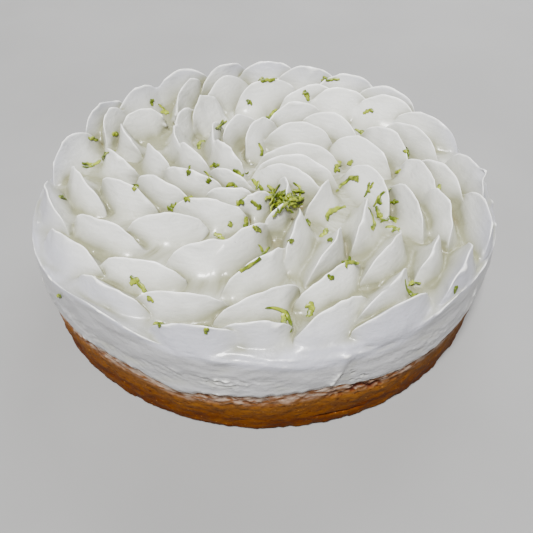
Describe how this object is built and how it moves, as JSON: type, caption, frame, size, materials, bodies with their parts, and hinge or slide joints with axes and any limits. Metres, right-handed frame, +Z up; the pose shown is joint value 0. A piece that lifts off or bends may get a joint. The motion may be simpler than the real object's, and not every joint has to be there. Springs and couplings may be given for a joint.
{
  "type": "lemon meringue tart",
  "caption": "Round uncut tart: a browned pastry case topped with thin piped meringue petals turning inwards in a rosette, and shreds of lime zest.",
  "frame": {"origin": "middle of the flat base, on the surface that the tart stands on", "axes": "+Z up through the rosette, -Y towards the front, +X to the front's right"},
  "size_m": [0.2213, 0.2172, 0.0676],
  "materials": {
    "browned_pastry": "matte",
    "meringue": "satin"
  },
  "bodies": {
    "root": {"pastry_case": "browned_pastry", "meringue": "meringue"}
  },
  "joints": []
}
